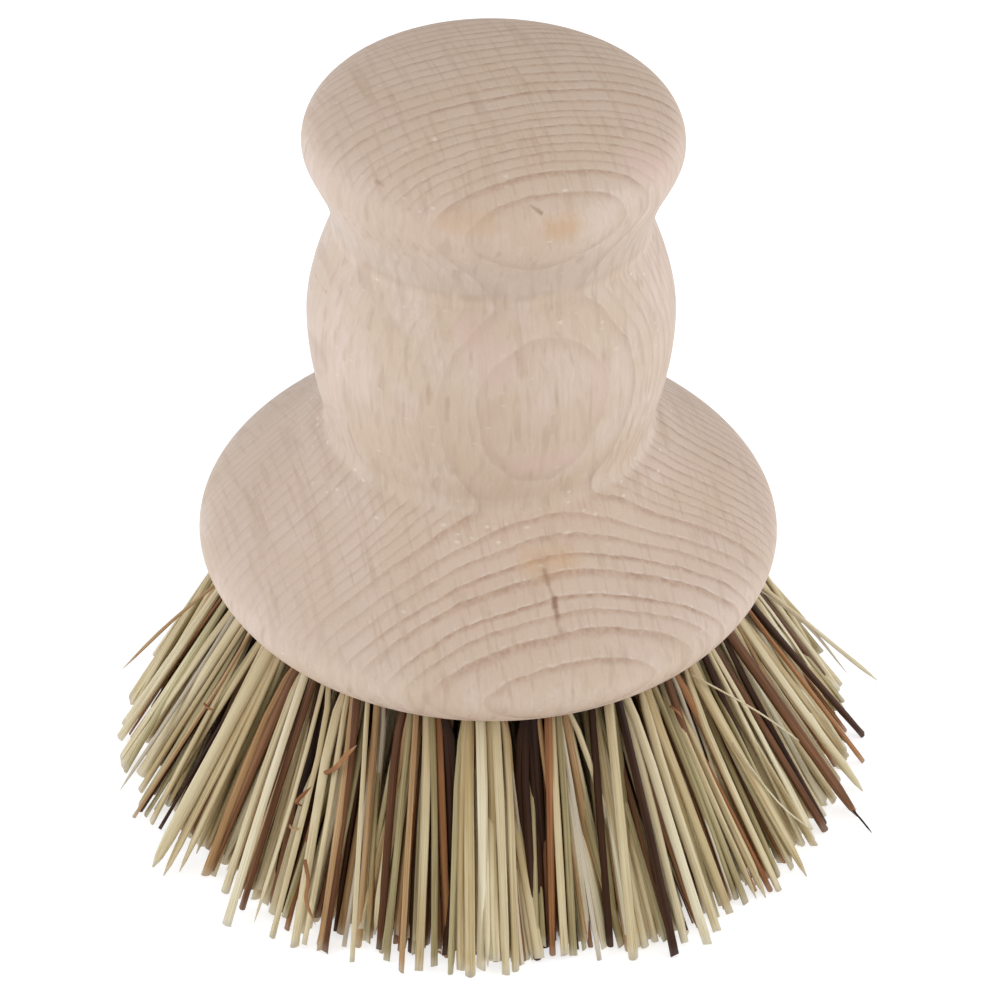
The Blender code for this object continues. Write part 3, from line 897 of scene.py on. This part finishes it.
# What shows on the outer face of each front tuft in the photograph. Tuft 0 is the nearest to the viewer, and
# the others are counted from it, plus towards the right. Each fibre has its kind, width, place across the
# tuft at the mouth and at the tips, and how far from the brush's axis it ends. It is cut square unless it
# says "point".
faceFibres = {
    -7: (
        ("straw", 1.1, -1.5, 1.5, 39.0), ("straw", 1.0, 0.0, 2.5, 38.0), ("olive", 0.9, 1.0, 5.0, 38.5),
        ("straw", 1.2, -0.6, 2.0, 38.5), ("cream", 1.1, 0.6, 3.6, 38.0), ("straw", 1.2, 1.6, 4.4, 37.5),
        ("olive", 1.0, -2.0, 0.2, 38.5), ("straw", 1.1, -2.4, -1.0, 38.0), ("tan", 0.9, 2.2, 5.6, 37.5),
    ),
    -6: (
        ("cream", 1.1, -1.5, -3.5, 39.0), ("straw", 1.0, -0.5, -1.0, 39.5), ("rust", 0.4, 1.0, -2.0, 38.5),
        ("tan", 0.6, 1.5, -1.5, 38.0), ("straw", 1.1, 1.5, 2.0, 39.5), ("olive", 0.8, 2.0, 4.0, 39.0),
    ),
    -5: (
        ("straw", 1.1, -2.5, -6.5, 39.0), ("grey", 0.5, -1.5, -3.0, 40.0, "point"),
        ("cream", 1.3, 0.5, -4.0, 37.5), ("straw", 0.9, 1.5, -2.0, 38.0), ("olive", 0.9, 1.5, 0.5, 39.0),
        ("dark", 0.6, 2.5, 1.5, 39.0), ("tan", 0.5, 3.0, 2.0, 40.0), ("straw", 0.8, 2.5, 4.0, 38.5),
    ),
    -4: (
        ("olive", 0.6, -2.0, -7.5, 38.0), ("straw", 0.7, -1.0, -7.5, 36.5), ("dark", 0.4, 0.0, -4.5, 38.0),
        ("cream", 1.3, 0.5, 0.5, 41.5, "point"), ("straw", 0.9, 1.0, 1.5, 41.0, "point"),
        ("straw", 0.7, 1.5, 2.5, 39.5, "point"), ("olive", 0.8, 2.5, -0.5, 36.0),
        ("straw", 0.8, -0.5, -2.0, 38.5),
    ),
    -3: (
        ("tan", 0.9, -3.0, -5.0, 37.5), ("brown", 0.9, -2.0, -5.0, 36.5), ("straw", 0.8, -1.5, -1.5, 38.0),
        ("cream", 1.0, -0.5, 2.0, 41.0), ("brown", 0.8, 0.5, 1.5, 38.5),
        ("straw", 0.6, 1.5, 4.0, 39.0, "point"), ("dark", 0.9, 2.5, 2.5, 35.5),
        ("straw", 0.6, 3.0, 6.5, 39.0),
    ),
    -2: (
        ("straw", 1.0, -3.0, -0.5, 39.5), ("straw", 0.6, -2.0, 0.5, 39.0), ("tan", 0.9, -1.0, 2.0, 38.5),
        ("brown", 0.9, -0.5, 2.5, 38.5), ("cream", 0.55, 0.5, 6.0, 39.0), ("tan", 0.7, 1.5, 5.0, 36.0),
        ("grey", 0.6, 2.5, 3.5, 34.0), ("rust", 0.6, -2.5, -2.5, 37.5),
    ),
    -1: (
        ("dark", 1.0, 2.6, 5.6, 34.5), ("dark", 0.9, 3.2, 6.4, 34.5),
        ("brown", 0.9, -2.5, -1.5, 36.5), ("olive", 0.6, -2.0, -4.5, 35.0), ("tan", 0.7, -1.0, -3.0, 35.0),
        ("tan", 0.6, -0.5, 1.5, 39.0), ("straw", 0.9, 0.5, 3.0, 38.0), ("olive", 0.7, 1.0, 4.5, 37.5),
        ("rust", 0.8, 1.5, 5.5, 36.0), ("olive", 0.7, -1.0, -0.5, 37.5),
    ),
    0: (
        ("olive", 0.6, -2.5, -3.0, 38.5), ("straw", 0.9, -2.0, -2.0, 38.0), ("straw", 1.1, -1.5, -1.0, 39.0),
        ("cream", 1.0, -0.5, 0.0, 37.5), ("straw", 1.1, 0.5, 1.5, 36.0), ("cream", 0.9, 1.0, 2.5, 37.8),
        ("straw", 0.8, 2.0, 3.5, 37.5), ("tan", 0.5, 2.5, 4.0, 35.0), ("grey", 0.35, 2.0, 5.5, 35.0),
    ),
    1: (
        # the dark fibres on its left are widened to fill the dark gap beside the middle tuft: dark fibre and
        # painted shade
        ("dark", 0.9, -2.5, -3.0, 36.0), ("dark", 0.8, -2.0, -2.0, 35.0), ("dark", 1.0, -3.1, -4.2, 35.0),
        ("dark", 1.0, -1.4, -1.2, 34.5), ("tan", 0.6, -1.0, 0.5, 35.0),
        ("rust", 0.8, 0.0, -1.5, 36.0), ("straw", 0.8, 0.5, -0.5, 37.0), ("olive", 0.8, 1.0, 0.5, 36.5),
        ("grey", 0.5, 1.0, 3.0, 37.5), ("tan", 0.8, 1.5, 4.5, 34.5), ("straw", 0.6, 2.0, 6.0, 34.5),
        ("cream", 0.55, 2.5, 8.0, 34.5),
    ),
    2: (
        ("dark", 0.8, -1.5, -4.5, 36.5), ("straw", 1.0, 0.0, -3.0, 38.5), ("olive", 0.9, 0.5, -1.5, 36.0),
        ("dark", 0.9, 1.0, 1.0, 40.0), ("cream", 0.9, 2.0, 2.5, 39.5), ("cream", 1.0, 2.5, 4.5, 40.5),
        ("straw", 0.9, 1.5, 3.5, 38.0),
    ),
    3: (
        ("cream", 1.0, -2.5, -3.0, 39.5), ("straw", 0.9, -2.0, -0.5, 38.5), ("olive", 0.7, -1.0, 1.5, 37.5),
        ("straw", 0.7, -1.5, -2.0, 37.0), ("brown", 0.85, 1.0, 3.0, 36.0), ("grey", 0.5, 2.0, 4.0, 36.5),
        ("dark", 0.5, 2.5, 5.0, 36.5), ("rust", 0.8, 2.5, 6.5, 37.0),
    ),
    4: (
        ("straw", 1.1, -3.0, -3.5, 39.5), ("straw", 1.2, -2.5, 0.0, 40.5, "point"),
        ("olive", 0.8, -1.0, 1.0, 36.5), ("dark", 0.8, 0.0, 2.0, 37.5), ("grey", 0.6, 1.0, 5.5, 36.5),
        ("brown", 0.8, 2.0, 7.0, 38.5), ("straw", 0.8, 0.8, 3.6, 38.0), ("cream", 0.6, 1.4, 4.6, 38.5),
    ),
    5: (
        ("dark", 0.9, -2.0, -2.0, 39.0), ("cream", 0.5, -2.0, 2.0, 41.0), ("cream", 0.8, -2.4, -0.6, 38.5),
        ("brown", 1.2, -1.5, 1.0, 41.6, "point"), ("cream", 0.7, -0.5, 6.0, 38.0),
        ("cream", 1.2, 1.0, 5.0, 41.0, "point"), ("straw", 1.0, 1.5, 9.5, 38.0), ("tan", 0.6, 0.5, 3.0, 38.0),
    ),
    7: (
        ("cream", 1.0, -2.0, 1.0, 39.0), ("straw", 1.1, -1.2, 2.2, 38.5), ("cream", 1.0, -0.4, 3.2, 38.0),
        ("straw", 1.0, 0.4, 4.2, 38.0), ("cream", 0.9, 1.2, 5.2, 37.5), ("straw", 1.0, 2.0, 6.0, 37.0),
        ("olive", 0.9, -1.8, -0.6, 38.0),
    ),
    6: (
        ("rust", 0.6, -2.5, -0.5, 41.0), ("dark", 0.8, -2.0, 4.0, 40.5), ("brown", 0.6, -1.0, 9.5, 36.5),
        ("cream", 0.5, 0.0, 8.0, 37.5), ("brown", 0.7, 1.0, 10.5, 37.5), ("straw", 1.1, 0.0, 3.0, 38.0),
        ("straw", 0.8, -1.6, 1.4, 38.5), ("cream", 0.7, -0.6, 6.2, 37.5),
    ),
}

# loose fibres, each with the tuft it belongs to, its kind, width and the places it passes through
looseFibres = (
    (5, "dark", 0.26, ((38.6, -13.5, 1.2), (39.8, -15.0, 0.6), (40.8, -16.5, 0.2))),
    (4, "cream", 0.22, ((20.7, -18.2, 23.0), (28.1, -15.3, 15.6), (35.0, -11.8, 6.8))),
    (4, "cream", 0.22, ((25.2, -19.9, 15.4), (30.2, -20.2, 7.8), (34.1, -19.1, 2.9))),
    (-7, "tan", 0.45, ((-26.0, -4.0, 24.5), (-33.0, -4.0, 17.2), (-38.5, -4.0, 10.6))),
    (6, "cream", 0.55, ((26.0, -6.0, 27.0), (36.7, -6.0, 16.6), (41.2, -6.0, 12.3))),
    (6, "grey", 0.35, ((25.5, -6.0, 26.5), (33.0, -6.0, 20.0), (37.9, -6.0, 13.3))),
    (-3, "rust", 0.5, ((-15.8, -26.4, 16.3), (-14.7, -26.9, 17.5), (-13.9, -26.9, 18.8),
                       (-12.6, -27.0, 20.6))),
    (-3, "rust", 0.45, ((-18.3, -28.0, 13.4), (-18.6, -28.1, 13.9), (-18.0, -27.9, 14.7),
                        (-17.1, -27.7, 15.7))),
    (-3, "tan", 0.35, ((-19.4, -28.6, 11.2), (-18.9, -29.0, 11.0), (-18.3, -29.0, 11.2))),
    (-3, "rust", 0.4, ((-17.8, -31.0, 8.8), (-17.4, -32.3, 7.2), (-17.6, -33.3, 5.4), (-16.6, -34.9, 3.6))),
    (-4, "rust", 0.25, ((-28.9, -14.7, 15.1), (-28.3, -15.6, 15.2), (-27.8, -16.2, 15.5))),
    (3, "rust", 0.25, ((18.5, -21.8, 21.9), (19.3, -21.9, 21.2), (19.8, -21.9, 20.4))),
)


def fibreMaterial(kind):
    colours, look = fibreKinds[kind], fibreLook
    material, tree, shader = newMaterial(f"{kind}Fibre")
    run = addNode(tree, "UVMap", uv_map="fibreRun").outputs["UV"]
    around, along, _ = axes(tree, run)
    own = addNode(tree, "TexWhiteNoise", {"W": maths(tree, "FLOOR", around)}, noise_dimensions="1D")
    grain, stripes = (useGroup(tree, drawnGrain, {"Place": stretch(tree, run, drawn), "Fineness": fineness})
                      ["Grain"] for drawn, fineness in (look["grain"], look["stripes"]))
    drawn, size = look["patches"]
    patches = useGroup(tree, softMottle, {"Place": stretch(tree, run, drawn), "Size": size})["Mottle"]
    tone = timesPlus(tree, grain, look["grainShare"], times(tree, own.outputs["Value"], look["ownShare"]))
    tone = timesPlus(tree, patches, look["patchShare"], tone)
    tone = maths(tree, "SUBTRACT", tone, look["less"], clamp=True)
    colour = blendColours(tree, tone, colours["light"], colours["deep"])
    ends, depth = look["darkTint"]
    stained = times(tree, remap(tree, stripes, *ends), depth)
    colour = blendColours(tree, stained, colour, colours["darkTint"])
    # painted shade under the flange's rim: darker towards the root
    colour = blendColours(tree, remap(tree, along, *look["root"], smooth=True), colour, colours["darkTint"])
    tip = remap(tree, along, look["tipFrom"], 1.0, 0.0, colours["tip"], smooth=True)
    colour = blendColours(tree, tip, colour, look["paleTip"])
    tree.links.new(colour, shader.inputs["Base Color"])
    tree.links.new(remap(tree, grain, 0.0, 1.0, *look["roughness"]), shader.inputs["Roughness"])
    shader.inputs["Specular IOR Level"].default_value = look["gloss"]
    strength, high = look["bump"]
    bump = addNode(tree, "Bump", {"Strength": strength, "Distance": high * mm, "Height": grain})
    tree.links.new(bump.outputs["Normal"], shader.inputs["Normal"])
    return material


fibreMaterials = {kind: fibreMaterial(kind) for kind in kindNames}


class FibreMesh:
    # gathers the fibres of one piece and turns them into a mesh
    def __init__(self, first):
        self.points, self.faces, self.kinds, self.runs, self.smooth = [], [], [], [], []
        self.first, self.count = first, 0

    def add(self, path, width, flatness, kind, chance, pointed, facing, lean):
        # path is the fibre's centre line from root to tip, in millimetres
        shape = fibreShape
        sides = shape["sides"]
        self.count += 1
        first = len(self.points)
        mean = (path[-1] - path[0]).normalized()
        across = mean.cross(facing).normalized()
        across = Matrix.Rotation(chance.gauss(0.0, lean), 3, mean) @ across
        other = mean.cross(across)
        twist = math.radians(chance.uniform(-1, 1) * shape["twist"]) * lean
        ridges = []
        for side in range(sides):
            groove = shape["ridge"] * (0.5 if side % 2 else -0.5)
            ridges.append(1 + chance.uniform(-1, 1) * shape["ridge"] + groove)
        least, most = shape["slant"]
        slant = chance.uniform(least, 1.0) * most * width * (shape["pointSlant"] if pointed else 1)
        slantTurn = chance.uniform(0, math.tau)
        most, often = shape["swell"]
        swell = chance.uniform(-most, most)
        ripple, quick, unlike = shape["ripple"]
        pointFrom, narrower, late = shape["point"]
        last = len(path) - 1
        for number, centre in enumerate(path):
            share = number / last
            size = 1 + swell * math.sin(share * often) + ripple * math.sin(share * quick + swell * unlike)
            if pointed:
                size *= 1 - narrower * max(0.0, (share - pointFrom) / (1 - pointFrom)) ** late
            turn = Matrix.Rotation(twist * share, 3, mean)
            wide = turn @ across * (width / 2 * size)
            thick = turn @ other * (width * flatness / 2 * size)
            for side in range(sides):
                angle = math.tau * side / sides
                point = centre + (wide * math.cos(angle) + thick * math.sin(angle)) * ridges[side]
                if number == last:
                    point -= mean * slant * 0.5 * (1 + math.cos(angle - slantTurn))
                point.z = max(point.z, shape["floorGap"])
                self.points.append(point * mm)
        for number in range(last):
            here, there = first + number * sides, first + (number + 1) * sides
            for side in range(sides):
                after = (side + 1) % sides
                corners = ((side, number), (side + 1, number), (side + 1, number + 1), (side, number + 1))
                self.addFace((here + side, here + after, there + after, there + side), corners, last, kind)
        for station, order in ((last, range(sides)), (0, range(sides - 1, -1, -1))):
            start = first + station * sides
            corners = [(side, station) for side in range(sides)]
            self.addFace([start + side for side in order], corners, last, kind, smooth=False)

    def addFace(self, face, corners, last, kind, smooth=True):
        # u counts fibres, with its fraction going round the fibre, and v runs from root to tip
        self.faces.append(face)
        self.kinds.append(kindNames.index(kind))
        self.smooth.append(smooth)
        for side, station in corners:
            around = fibreLook["roundShare"] * side / fibreShape["sides"]
            self.runs += [self.first + self.count + around, station / last]

    def piece(self, name):
        data = bpy.data.meshes.new(name)
        data.from_pydata(self.points, [], self.faces)
        for kind in kindNames:
            data.materials.append(fibreMaterials[kind])
        data.polygons.foreach_set("material_index", self.kinds)
        data.polygons.foreach_set("use_smooth", self.smooth)
        layer = data.uv_layers.new(name="fibreRun")
        layer.uv.foreach_set("vector", self.runs)
        data.update()
        made = bpy.data.objects.new(name, data)
        bpy.context.scene.collection.objects.link(made)
        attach(made, "root")
        return made


def fibrePath(deep, mouth, tip, chance, bow=None):
    # from up in the hole, out of its mouth, then down to the tip with a slight bow
    run = tip - mouth
    aside = run.cross(Vector((chance.uniform(-1, 1), chance.uniform(-1, 1), chance.uniform(-1, 1))))
    aside = aside.normalized() * (fibreShape["bow"] * chance.uniform(0, 1) if bow is None else bow)
    path = [deep]
    for share in fibreShape["stations"]:
        bowed = aside * math.sin(math.pi * share) * (1 - fibreShape["bowFade"] * share)
        path.append(mouth + run * share + bowed)
    return path


def tipHeight(rise, chance):
    most, rare = fibreShape[rise]
    return fibreShape["floorGap"] + chance.random() ** rare * most


def pickKind(mix, chance):
    draw = chance.random() * sum(mix.values())
    for kind, share in mix.items():
        draw -= share
        if draw <= 0:
            return kind
    return kind


def facePath(start, end, reach, layer, outward, sideways, placed, chance):
    # a fibre of a tuft's face: pressed into the hole's width at its root, straight from the mouth to its tip
    shape = tuftShape
    inside = max(-shape["rootSpread"], min(shape["rootSpread"], start))
    curve = 1 - (inside / blockShape["holeRadius"]) ** 2
    out = shape["faceDepth"] * math.sqrt(max(shape["faceSides"], curve))
    deep = placed @ Vector((out, inside * shape["pressed"], fibreShape["inHole"]))
    mouth = placed @ Vector((out, start, 0.0))
    atMouth, atTip = shape["layerShares"]
    tip = outward * (reach + layer * atTip) + sideways * end
    tip.z = tipHeight("faceTipRise", chance)
    bow = fibreShape["faceBow"] * chance.random()
    path = fibrePath(deep, mouth + outward * layer * atMouth, tip, chance, bow)
    for station, ease in enumerate(shape["mouthEase"], start=1):
        path[station] += sideways * (inside - start) * ease
    return path


def loosePath(places):
    # a smooth line through the places that a loose fibre passes
    steps = fibreShape["looseSteps"]
    spots = [Vector(spot) for spot in places]
    ends = [2 * spots[0] - spots[1], *spots, 2 * spots[-1] - spots[-2]]
    path = []
    for before, here, there, after in zip(ends, ends[1:], ends[2:], ends[3:]):
        for step in range(steps):
            t = step / steps
            leaving = (there - before) * (t * (1 - t) ** 2 / 2)
            arriving = (after - here) * (t * t * (1 - t) / 2)
            straight = here * ((1 - t) ** 2 * (1 + 2 * t)) + there * (t * t * (3 - 2 * t))
            path.append(straight + leaving - arriving)
    path.append(spots[-1])
    return path


def randomFace(chance):
    # like the faces that the photograph shows, with its fibres fanned out
    listed = []
    wider, stray = plainFace["fan"]
    for fibre in range(plainFace["fibres"]):
        kind = pickKind(tuftShape["mix"], chance)
        start = plainFace["firstPlace"] + plainFace["apart"] * fibre + chance.uniform(*plainFace["stray"])
        width = chance.uniform(*fibreKinds[kind]["width"])
        listed.append((kind, width, start, start * wider + chance.gauss(0.0, stray),
                       chance.uniform(*plainFace["reach"])))
    return listed


def fillMix(listed):
    # behind its face a tuft holds more of the same kinds, and dark kinds that make its gaps dark:
    # dark fibre and painted shade together
    mix = dict(tuftShape["shadeMix"])
    for kind, *_ in listed:
        share = tuftShape["faceShare"] * tuftShape["fewer"].get(kind, 1.0)
        mix[kind] = mix.get(kind, 0.0) + share / len(listed)
    return mix


def growFace(bundle, place, listed, outward, sideways, placed, chance):
    perMillimetre, wider = tuftShape["crossing"]
    inner, face = fibreShape["lean"]
    for fibre, (kind, width, start, end, reach, *ending) in enumerate(listed):
        layer = tuftShape["faceLayer"] * (fibre % 2) + perMillimetre * abs(end - wider * start)
        path = facePath(start, end, reach, layer, outward, sideways, placed, chance)
        flatness = chance.uniform(*fibreKinds[kind]["flat"])
        bundle.add(path, width, flatness, kind, chance, "point" in ending, outward, face)
    for owner, kind, width, places in looseFibres:
        if owner == place:
            flatness = fibreShape["looseFlatness"]
            bundle.add(loosePath(places), width, flatness, kind, chance, True, outward, inner)


def growTuft(number, name, turn, tips, placed):
    shape = tuftShape
    chance = random.Random(shape["seed"] + number)
    bundle = FibreMesh(number * shape["numbersApart"])
    outward = Vector((math.cos(turn), math.sin(turn), 0.0))
    sideways = Vector((-math.sin(turn), math.cos(turn), 0.0))
    outer = name.startswith("outer")
    mix, share, shift = shape["mix"], 1.0, 0.0
    if outer:
        ring = tuftRings["outer"][0]
        place = number if number <= ring / 2 else number - ring
        listed = faceFibres.get(place) or randomFace(chance)
        growFace(bundle, place, listed, outward, sideways, placed, chance)
        mix = fillMix(listed)
        share, shift, back = shape["fillBack"]
        ends = [reach for _, _, _, _, reach, *_ in listed]
        tips = min(tips, sum(ends) / len(ends)) - back
    tipMiddle = outward * tips + Vector((shape["skew"], 0.0, 0.0))
    root, stray, uneven = shape["rootSpread"], shape["wander"], shape["uneven"]
    spreadOut, spreadSide = shape["tipSpread"]
    count = shape["fibres"] - bundle.count
    for fibre in range(count):
        # a sunflower's spread
        reach = math.sqrt((fibre + 0.5) / count)
        angle = fibre * shape["goldenAngle"] + number
        x = (reach * math.cos(angle) + chance.uniform(-uneven, uneven)) * share + shift
        y = reach * math.sin(angle) + chance.uniform(-uneven, uneven)
        kind = pickKind(mix, chance)
        look = fibreKinds[kind]
        width, flatness = chance.uniform(*look["width"]), chance.uniform(*look["flat"])
        deep = placed @ Vector((x * root, y * root, fibreShape["inHole"]))
        start = placed @ Vector((x * root, y * root, 0.0))
        short = shape["darkShort"] if outer and kind in ("dark", "brown") else 0.0
        tip = tipMiddle + outward * (x * spreadOut - short + chance.gauss(0, stray))
        tip += sideways * (y * spreadSide + chance.gauss(0, stray))
        tip.z = tipHeight("tipRise", chance)
        pointed = chance.random() < fibreShape["pointed"]
        path = fibrePath(deep, start, tip, chance)
        bundle.add(path, width, flatness, kind, chance, pointed, outward, fibreShape["lean"][0])
    piece = bundle.piece(name.replace("_", " ").title().replace(" ", "").replace("Tuft", "Fibres"))
    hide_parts(name)
    return bundle.count


fibreCount = sum(growTuft(number, *hole) for number, hole in enumerate(holeFrames()))
print(f"union fibre: {fibreCount} fibres in {sum(count for count, _, _ in tuftRings.values())} tufts")


# stage, light and camera

stage = {
    "floorSize": 4000.0,
    "floorColour": paint(190, 190, 190),
    "floorGlow": 0.68,  # the photograph's background is white without a shadow
    "floorRoughness": 0.8,
    # under the brush: the painted shadow's colour, and how strongly it glows there to light the bristles'
    # gaps
    "shadeColour": paint(92, 66, 46),
    "shadeGlow": 0.35,
    "underBrush": (31.0, 35.0),  # radii between which the floor goes from painted shadow to open white
    "white": (1.0, 1.0, 1.0, 1.0),
    "skyStrength": 0.38,
    # softboxes: where they stand, how wide and how tall, their power in watts and their colour
    "left": ((-620.0, -120.0, 330.0), 620.0, 620.0, 2.50, (0.93, 1.04, 1.27)),
    "right": ((640.0, -60.0, 340.0), 620.0, 620.0, 2.45, (0.93, 1.03, 1.24)),
    "over": ((60.0, -300.0, 760.0), 700.0, 500.0, 1.42, (1.10, 0.99, 0.82)),
    "aim": (0.0, 0.0, 35.0),
}

view = {
    "elevation": 37.29,
    "distance": 350.0,
    "aim": (1.171, 0.0, 30.8),
    "roll": -0.925,
    "lens": 121.885,
    "sensor": 36.0,
    "clip": (10.0, 20000.0),
}


def layFloor():
    # a glowing white floor; under the brush it is painted dark as the brush's shadow, and there it glows
    # a dim warm light into the gaps between the bristles
    mesh = bmesh.new()
    half = stage["floorSize"] / 2 * mm
    corners = ((-1, -1), (1, -1), (1, 1), (-1, 1))
    mesh.faces.new([mesh.verts.new((x * half, y * half, 0.0)) for x, y in corners])
    material, tree, shader = newMaterial("paleFloor")
    away = vectorMaths(tree, "LENGTH", stretch(tree, millimetres(tree), (1.0, 1.0, 0.0)))
    bare = remap(tree, away, *stage["underBrush"], smooth=True)
    colour = blendColours(tree, bare, stage["shadeColour"], stage["floorColour"])
    tree.links.new(colour, shader.inputs["Base Color"])
    shader.inputs["Roughness"].default_value = stage["floorRoughness"]
    shine = blendColours(tree, bare, stage["shadeColour"], stage["white"])
    tree.links.new(shine, shader.inputs["Emission Color"])
    glow = remap(tree, bare, 0.0, 1.0, stage["shadeGlow"], stage["floorGlow"])
    tree.links.new(glow, shader.inputs["Emission Strength"])
    floor = newPiece("floor", mesh, material)


def hangSoftbox(name):
    place, width, tall, power, colour = stage[name]
    lamp = bpy.data.lights.new(name + "Softbox", "AREA")
    lamp.shape = "RECTANGLE"
    lamp.size, lamp.size_y = width * mm, tall * mm
    lamp.energy = power
    lamp.color = colour
    softbox = bpy.data.objects.new(name + "Softbox", lamp)
    softbox.location = Vector(place) * mm
    towards = (Vector(stage["aim"]) - Vector(place)).normalized()
    softbox.rotation_euler = towards.to_track_quat("-Z", "Y").to_euler()
    bpy.context.scene.collection.objects.link(softbox)


def lightSky():
    world = bpy.data.worlds.new("studio")
    world.use_nodes = True
    sky = world.node_tree.nodes["Background"]
    sky.inputs["Color"].default_value = stage["white"]
    sky.inputs["Strength"].default_value = stage["skyStrength"]
    bpy.context.scene.world = world


def standCamera():
    rise, roll = math.radians(view["elevation"]), math.radians(view["roll"])
    back = Vector((0.0, -math.cos(rise), math.sin(rise)))
    right, up = Vector((1.0, 0.0, 0.0)), Vector((0.0, math.sin(rise), math.cos(rise)))
    side = right * math.cos(roll) - up * math.sin(roll)
    over = right * math.sin(roll) + up * math.cos(roll)
    lens = bpy.data.cameras.new("photograph")
    lens.lens, lens.sensor_width = view["lens"], view["sensor"]
    lens.clip_start, lens.clip_end = (reach * mm for reach in view["clip"])
    camera = bpy.data.objects.new("photograph", lens)
    camera.matrix_world = Matrix((side, over, back)).transposed().to_4x4()
    camera.location = (Vector(view["aim"]) + back * view["distance"]) * mm
    bpy.context.scene.collection.objects.link(camera)
    bpy.context.scene.camera = camera


layFloor()
lightSky()
for softbox in ("left", "right", "over"):
    hangSoftbox(softbox)
standCamera()
bpy.context.scene.view_settings.view_transform = "Standard"
print("floor, light and camera are set")
